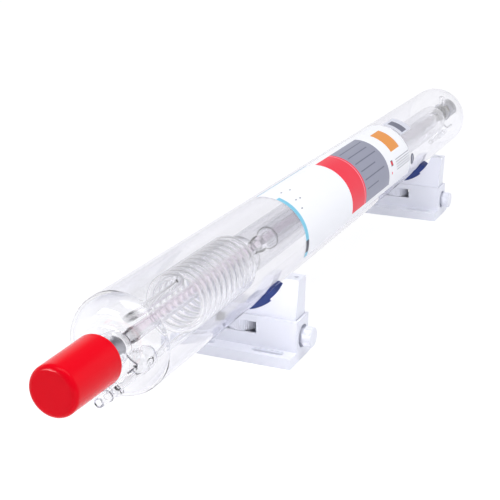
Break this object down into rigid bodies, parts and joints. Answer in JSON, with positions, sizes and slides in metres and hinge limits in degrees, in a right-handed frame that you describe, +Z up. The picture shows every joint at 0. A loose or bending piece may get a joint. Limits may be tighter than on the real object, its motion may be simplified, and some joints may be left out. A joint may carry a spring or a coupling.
{
  "type": "co2 laser tube",
  "caption": "Sealed glass gas laser tube with water jacket, spiral gas return, output cap and mirror head, lying in two height-adjustable plastic saddles.",
  "frame": {"origin": "on the surface that the supports stand on, under the middle of the tube's length and width", "axes": "+X along the tube from the output cap to the rear mirror, +Z up, +Y to the left seen from the output end looking along +X"},
  "size_m": [1.05, 0.1366, 0.1281],
  "materials": {
    "jacket_glass": "clear borosilicate, drawn, faint lavender tint at the edges",
    "inner_glass": "clear borosilicate, fire polished",
    "coil_glass": "clear borosilicate, wound hot",
    "electrode_metal": "nickel, satin",
    "anode_metal": "nickel, turned, darkened",
    "head_metal": "turned, satin",
    "dark_metal": "black anodised, satin",
    "screw_steel": "zinc plated, threaded",
    "lens_coating": "coated lens, amber",
    "gold_mirror": "polished gold coating",
    "red_vinyl": "soft dipped vinyl, glossy",
    "label_film": "printed film, satin",
    "white_plastic": "moulded ABS, satin",
    "blue_rubber": "moulded rubber, matte"
  },
  "bodies": {
    "feet": {"front_base": "white_plastic", "rear_base": "white_plastic"},
    "cradle": {"outer_jacket": "jacket_glass", "water_jacket": "inner_glass", "inner_sleeve": "inner_glass", "discharge_tube": "inner_glass", "gas_return_coil": "coil_glass", "cathode_guard": "inner_glass", "cathode": "electrode_metal", "cathode_pin": "electrode_metal", "anode": "anode_metal", "anode_pin": "electrode_metal", "output_head": "head_metal", "output_lens": "lens_coating", "lens_ring": "dark_metal", "mirror_head": "dark_metal", "rear_mirror": "gold_mirror", "mirror_ring": "dark_metal", "front_water_nipple": "jacket_glass", "front_water_pipe": "inner_glass", "rear_water_nipple": "jacket_glass", "rear_water_pipe": "inner_glass", "gas_fill_tip": "jacket_glass", "front_label": "label_film", "main_label": "label_film", "serial_label": "label_film", "round_sticker": "label_film", "front_yoke": "white_plastic", "front_left_pad": "blue_rubber", "front_right_pad": "blue_rubber", "front_lift_screw": "screw_steel", "rear_yoke": "white_plastic", "rear_left_pad": "blue_rubber", "rear_right_pad": "blue_rubber", "rear_lift_screw": "screw_steel"},
    "cap": {"red_cap": "red_vinyl"},
    "front_wheel": {"front_lift_wheel": "white_plastic"},
    "front_left_lock": {"front_left_knob": "white_plastic"},
    "front_right_lock": {"front_right_knob": "white_plastic"},
    "rear_wheel": {"rear_lift_wheel": "white_plastic"},
    "rear_left_lock": {"rear_left_knob": "white_plastic"},
    "rear_right_lock": {"rear_right_knob": "white_plastic"}
  },
  "joints": [
    {"name": "lift", "type": "slide", "parent": "feet", "child": "cradle", "axis": [0, 0, 1], "range_m": [0, 0.012]},
    {"name": "cap_pull", "type": "slide", "parent": "cradle", "child": "cap", "axis": [-1, 0, 0], "range_m": [0, 0.065]},
    {"name": "front_wheel_turn", "type": "hinge", "parent": "feet", "child": "front_wheel", "pos_m": [-0.214, 0, 0.0272], "axis": [0, 0, 1], "range_deg": [0, 1441]},
    {"name": "front_left_lock_turn", "type": "hinge", "parent": "feet", "child": "front_left_lock", "pos_m": [-0.214, -0.058, 0.021], "axis": [0, -1, 0], "range_deg": [0, 360]},
    {"name": "front_right_lock_turn", "type": "hinge", "parent": "feet", "child": "front_right_lock", "pos_m": [-0.214, 0.058, 0.021], "axis": [0, 1, 0], "range_deg": [0, 360]},
    {"name": "rear_wheel_turn", "type": "hinge", "parent": "feet", "child": "rear_wheel", "pos_m": [0.277, 0, 0.0272], "axis": [0, 0, 1], "range_deg": [0, 1441]},
    {"name": "rear_left_lock_turn", "type": "hinge", "parent": "feet", "child": "rear_left_lock", "pos_m": [0.277, -0.058, 0.021], "axis": [0, -1, 0], "range_deg": [0, 360]},
    {"name": "rear_right_lock_turn", "type": "hinge", "parent": "feet", "child": "rear_right_lock", "pos_m": [0.277, 0.058, 0.021], "axis": [0, 1, 0], "range_deg": [0, 360]}
  ],
  "couplings": [
    {"joint": "front_wheel_turn", "follows": "lift", "rad_per_m": 2094.4},
    {"joint": "rear_wheel_turn", "follows": "lift", "rad_per_m": 2094.4}
  ]
}
